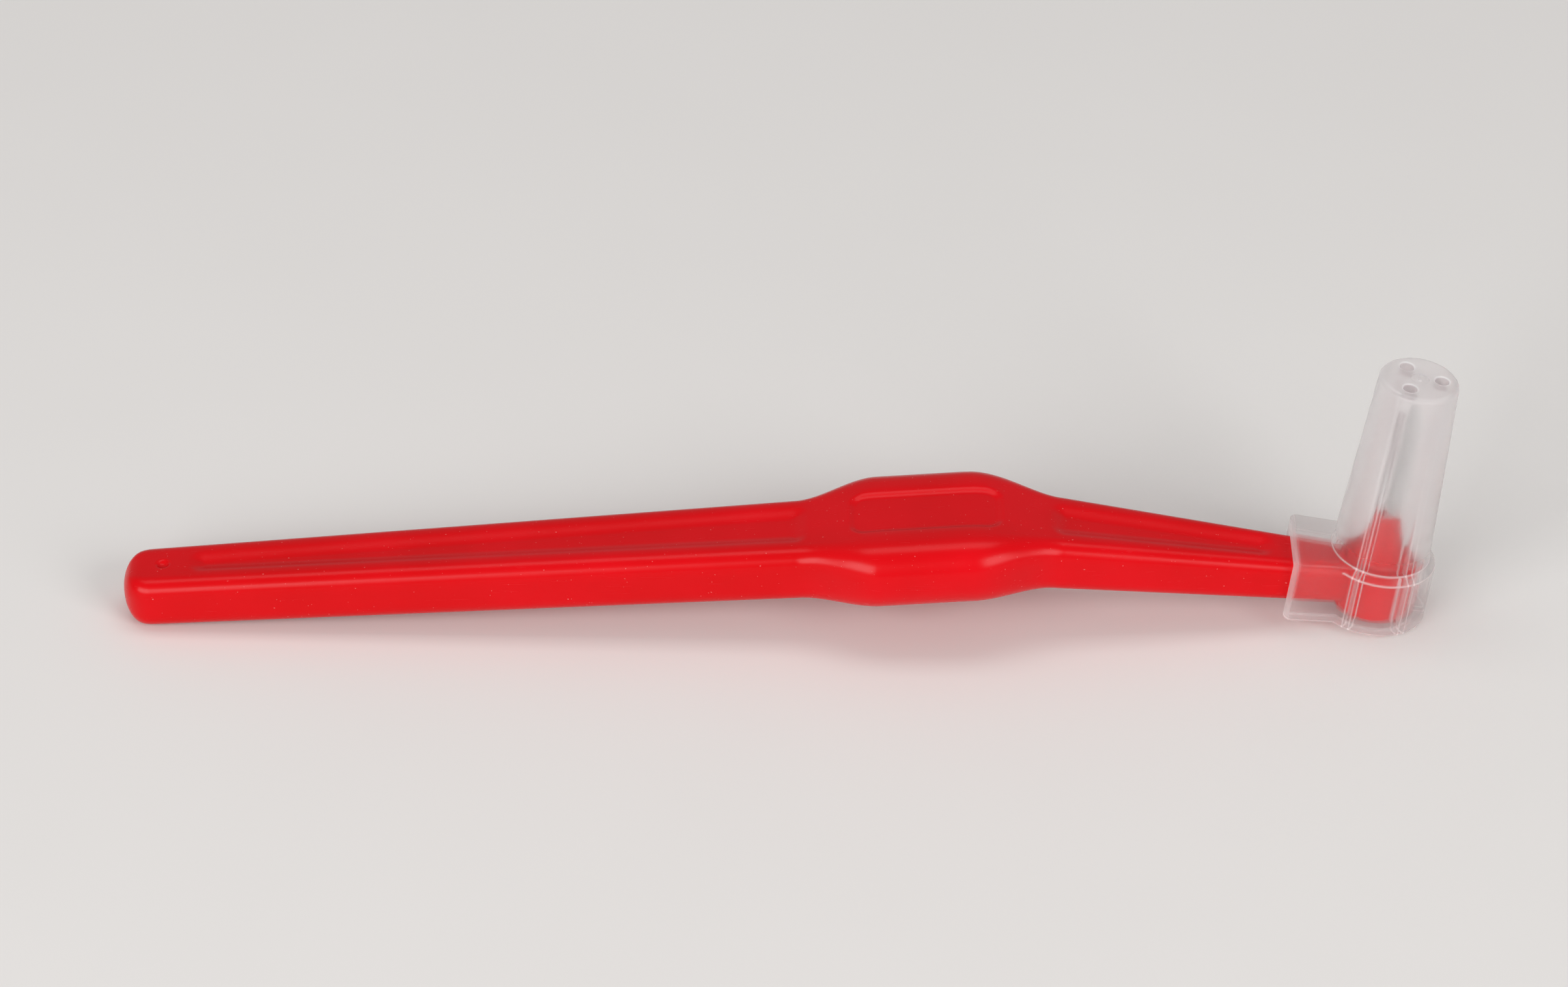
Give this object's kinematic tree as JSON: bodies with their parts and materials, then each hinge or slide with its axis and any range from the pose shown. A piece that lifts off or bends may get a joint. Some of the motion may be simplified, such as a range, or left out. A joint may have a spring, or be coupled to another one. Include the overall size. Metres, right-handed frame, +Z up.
{
  "type": "interdental brush",
  "caption": "Angled interdental brush: long moulded handle with a grip, and a twisted-wire brush at right angles to it under a clear push-on cap.",
  "frame": {"origin": "middle of the bounding box's footprint, on the surface that the brush stands on", "axes": "+X along the handle towards the head, +Z up, the way the cap points, +Y across the handle"},
  "size_m": [0.11, 0.0138, 0.0236],
  "materials": {
    "handle_plastic": "glossy moulded",
    "wire_steel": "drawn wire",
    "filament_nylon": "nylon",
    "cap_plastic": "translucent, lightly frosted"
  },
  "bodies": {
    "brush": {"handle": "handle_plastic", "twisted_wire": "wire_steel", "filaments_01": "filament_nylon", "filaments_02": "filament_nylon", "filaments_03": "filament_nylon", "filaments_04": "filament_nylon", "filaments_05": "filament_nylon", "filaments_06": "filament_nylon", "filaments_07": "filament_nylon", "filaments_08": "filament_nylon", "filaments_09": "filament_nylon", "filaments_10": "filament_nylon", "filaments_11": "filament_nylon", "filaments_12": "filament_nylon", "filaments_13": "filament_nylon", "filaments_14": "filament_nylon", "filaments_15": "filament_nylon", "filaments_16": "filament_nylon", "filaments_17": "filament_nylon", "filaments_18": "filament_nylon"},
    "cap": {"cap": "cap_plastic"}
  },
  "joints": [
    {"name": "cap_slide", "type": "slide", "parent": "brush", "child": "cap", "axis": [0.1293, 0, 0.9916], "range_m": [0, 0.024]}
  ]
}
